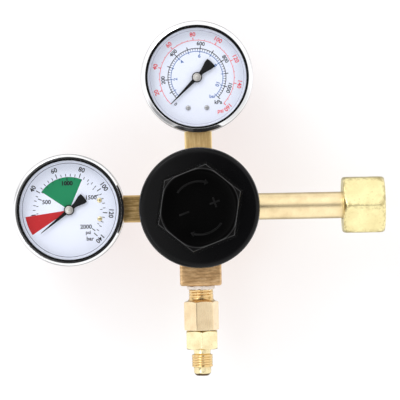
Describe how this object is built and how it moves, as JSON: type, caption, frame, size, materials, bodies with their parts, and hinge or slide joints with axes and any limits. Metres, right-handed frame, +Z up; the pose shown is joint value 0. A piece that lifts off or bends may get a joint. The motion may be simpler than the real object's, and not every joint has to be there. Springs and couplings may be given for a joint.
{
  "type": "carbon dioxide regulator",
  "caption": "Brass gas pressure regulator with a black round bonnet and hexagonal adjusting knob, a contents gauge, an outlet gauge, a cylinder inlet nut and a flare outlet with a check valve.",
  "frame": {"origin": "centre of the inlet seat, on the outer face of the inlet washer", "axes": "+X out of the inlet towards the cylinder valve, +Z up towards the outlet gauge, the adjusting knob faces -Y"},
  "size_m": [0.1908, 0.0947, 0.1822],
  "materials": {
    "forged_brass": "forged and sawn, dull tan",
    "brass": "machined, bright",
    "chrome": "polished plate",
    "steel": "plain",
    "black_plastic": "fine satin moulding",
    "black_paint": "satin black",
    "dial_white": "matt white with printed scales",
    "clear_lens": "clear",
    "rubber": "matt black",
    "nylon": "off-white",
    "thread_tape": "white sealing tape",
    "sintered_bronze": "bronze, dull"
  },
  "bodies": {
    "regulator": {"regulator_body": "forged_brass", "seat_nozzle": "brass", "inlet_nipple": "brass", "check_valve_body": "brass", "outlet_fitting": "brass", "relief_valve_body": "brass", "relief_cap": "brass", "poppet_spring": "steel", "adjusting_spring": "steel", "check_spring": "steel", "relief_spring": "steel", "diaphragm": "rubber", "slip_ring": "nylon", "inlet_washer": "nylon", "bonnet": "black_plastic", "inlet_filter": "sintered_bronze", "outlet_thread_tape": "thread_tape", "low_gauge_case": "chrome", "low_bezel": "chrome", "low_lens_gasket": "rubber", "low_lens": "clear_lens", "low_dial": "dial_white", "low_dial_screw_left": "brass", "low_dial_screw_right": "brass", "low_bourdon_tube": "brass", "low_movement_frame": "brass", "low_gauge_socket": "forged_brass", "low_hairspring": "sintered_bronze", "low_thread_tape": "thread_tape", "high_gauge_case": "chrome", "high_bezel": "chrome", "high_lens_gasket": "rubber", "high_lens": "clear_lens", "high_dial": "dial_white", "high_dial_screw_left": "brass", "high_dial_screw_right": "brass", "high_bourdon_tube": "brass", "high_movement_frame": "brass", "high_gauge_socket": "forged_brass", "high_hairspring": "sintered_bronze", "high_thread_tape": "thread_tape"},
    "knob": {"adjusting_knob": "black_plastic", "adjusting_screw": "steel"},
    "spring_nut": {"spring_nut": "brass"},
    "diaphragm_centre": {"diaphragm_pusher": "brass", "lower_spring_button": "steel"},
    "poppet": {"poppet": "brass"},
    "inlet_nut": {"inlet_nut": "brass"},
    "check_poppet": {"check_poppet": "brass", "check_seal": "rubber"},
    "relief_poppet": {"relief_poppet": "brass"},
    "pull_ring": {"relief_pull_ring": "steel"},
    "low_pointer": {"low_pointer": "black_paint", "low_pointer_arbor": "steel"},
    "low_sector": {"low_sector_gear": "brass"},
    "low_link": {"low_link": "brass"},
    "high_pointer": {"high_pointer": "black_paint", "high_pointer_arbor": "steel"},
    "high_sector": {"high_sector_gear": "brass"},
    "high_link": {"high_link": "brass"}
  },
  "joints": [
    {"name": "knob_turn", "type": "hinge", "parent": "regulator", "child": "knob", "pos_m": [-0.086, 0, 0], "axis": [0, 1, 0], "range_deg": [0, 1620]},
    {"name": "spring_nut_travel", "type": "slide", "parent": "regulator", "child": "spring_nut", "axis": [0, 1, 0], "range_m": [0, 0.00676], "deforming": ["adjusting_spring"]},
    {"name": "diaphragm_push", "type": "slide", "parent": "regulator", "child": "diaphragm_centre", "axis": [0, 1, 0], "range_m": [0, 0.0008], "stiffness_N_per_m": 2000, "deforming": ["diaphragm"]},
    {"name": "poppet_lift", "type": "slide", "parent": "regulator", "child": "poppet", "axis": [0, 1, 0], "range_m": [0, 0.0008], "deforming": ["poppet_spring"]},
    {"name": "inlet_nut_spin", "type": "hinge", "parent": "regulator", "child": "inlet_nut", "pos_m": [-0.0015, 0, 0], "axis": [1, 0, 0], "continuous": true},
    {"name": "check_poppet_open", "type": "slide", "parent": "regulator", "child": "check_poppet", "axis": [0, 0, -1], "range_m": [0, 0.0015], "stiffness_N_per_m": 300, "deforming": ["check_spring"]},
    {"name": "relief_poppet_lift", "type": "slide", "parent": "regulator", "child": "relief_poppet", "axis": [0, 1, 0], "range_m": [0, 0.002], "stiffness_N_per_m": 2000, "deforming": ["relief_spring"]},
    {"name": "pull_ring_swing", "type": "hinge", "parent": "relief_poppet", "child": "pull_ring", "pos_m": [-0.086, 0.033, -0.0245], "axis": [1, 0, 0], "range_deg": [-25, 90]},
    {"name": "low_pointer_turn", "type": "hinge", "parent": "regulator", "child": "low_pointer", "pos_m": [-0.086, 0, 0.0668], "axis": [0, 1, 0], "range_deg": [0, 270], "stiffness_Nm_per_rad": 0.002, "deforming": ["low_bourdon_tube", "low_hairspring"]},
    {"name": "low_sector_swing", "type": "hinge", "parent": "regulator", "child": "low_sector", "pos_m": [-0.086, 0, 0.0548], "axis": [0, 1, 0], "range_deg": [-46, 1]},
    {"name": "low_link_swing", "type": "hinge", "parent": "low_sector", "child": "low_link", "pos_m": [-0.08246, 0, 0.05126], "axis": [0, 1, 0], "range_deg": [-1, 50]},
    {"name": "high_pointer_turn", "type": "hinge", "parent": "regulator", "child": "high_pointer", "pos_m": [-0.1528, 0, 0], "axis": [0, 1, 0], "range_deg": [0, 260], "stiffness_Nm_per_rad": 0.002, "deforming": ["high_bourdon_tube", "high_hairspring"]},
    {"name": "high_sector_swing", "type": "hinge", "parent": "regulator", "child": "high_sector", "pos_m": [-0.1408, 0, 0], "axis": [0, 1, 0], "range_deg": [-46, 1]},
    {"name": "high_link_swing", "type": "hinge", "parent": "high_sector", "child": "high_link", "pos_m": [-0.13726, 0, 0.00354], "axis": [0, 1, 0], "range_deg": [-1, 50]}
  ],
  "couplings": [
    {"joint": "spring_nut_travel", "follows": "knob_turn", "m_per_rad": 0.00023873},
    {"joint": "poppet_lift", "follows": "diaphragm_push", "ratio": 1},
    {"joint": "low_sector_swing", "follows": "low_pointer_turn", "ratio": -0.16667},
    {"joint": "low_link_swing", "follows": "low_pointer_turn", "ratio": 0.18},
    {"joint": "high_sector_swing", "follows": "high_pointer_turn", "ratio": -0.16667},
    {"joint": "high_link_swing", "follows": "high_pointer_turn", "ratio": 0.18}
  ]
}
